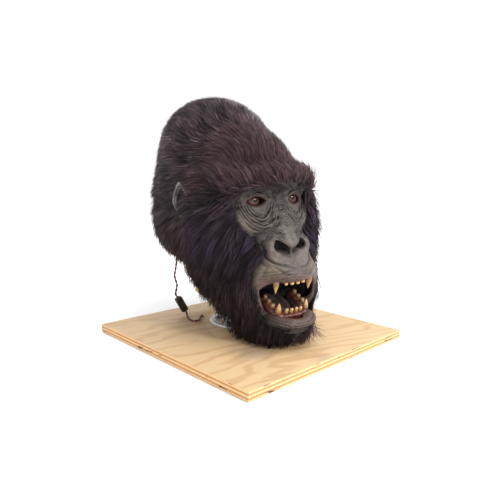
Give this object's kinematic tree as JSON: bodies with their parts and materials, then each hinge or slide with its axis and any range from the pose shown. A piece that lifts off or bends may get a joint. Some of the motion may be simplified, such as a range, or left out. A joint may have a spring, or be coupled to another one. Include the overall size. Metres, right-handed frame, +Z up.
{
  "type": "gorilla mask on display stand",
  "caption": "Furred full-head gorilla mask with open jaws, ears, eyes and teeth, hollow inside, on a post and square plywood board, with a thin cable and its connector.",
  "frame": {"origin": "middle of the board's underside, on the surface the stand rests on", "axes": "+Z up, -Y where the face looks, +X to the mask's own left; the board is turned 15 degrees about +Z under the mask"},
  "size_m": [0.4164, 0.4621, 0.3834],
  "materials": {
    "latex": "grey-brown painted latex, creased, satin",
    "fur": "long dark brown-black fur",
    "acrylic": "clear over a red-brown iris",
    "mouth_bag": "black, matte",
    "tongue_latex": "dark, damp looking",
    "gum": "red-brown dental resin",
    "tooth": "ivory dental resin, stained",
    "plywood": "bare softwood plywood",
    "pine": "bare pine",
    "zinc": "galvanised",
    "wire": "twisted thin red and black insulated wires",
    "connector": "black moulded"
  },
  "bodies": {
    "root": {"face_skin": "latex", "ear_right": "latex", "ear_left": "latex", "fur_hood": "fur", "eye_right": "acrylic", "eye_left": "acrylic", "mouth_lining": "mouth_bag", "tongue": "tongue_latex", "upper_gum": "gum", "lower_gum": "gum", "upper_incisor_1_right": "tooth", "upper_incisor_1_left": "tooth", "upper_incisor_2_right": "tooth", "upper_incisor_2_left": "tooth", "upper_canine_right": "tooth", "upper_canine_left": "tooth", "upper_cheek_tooth_1_right": "tooth", "upper_cheek_tooth_1_left": "tooth", "upper_cheek_tooth_2_right": "tooth", "upper_cheek_tooth_2_left": "tooth", "upper_cheek_tooth_3_right": "tooth", "upper_cheek_tooth_3_left": "tooth", "lower_incisor_1_right": "tooth", "lower_incisor_1_left": "tooth", "lower_incisor_2_right": "tooth", "lower_incisor_2_left": "tooth", "lower_canine_right": "tooth", "lower_canine_left": "tooth", "lower_cheek_tooth_1_right": "tooth", "lower_cheek_tooth_1_left": "tooth", "lower_cheek_tooth_2_right": "tooth", "lower_cheek_tooth_2_left": "tooth", "lower_cheek_tooth_3_right": "tooth", "lower_cheek_tooth_3_left": "tooth", "base_board": "plywood", "stand_flange": "zinc", "flange_screw_1": "zinc", "flange_screw_2": "zinc", "flange_screw_3": "zinc", "flange_screw_4": "zinc", "stand_post": "pine", "crown_block": "pine", "neck_arm": "pine", "cable_upper": "wire", "cable_lower": "wire", "cable_connector": "connector"}
  },
  "joints": []
}
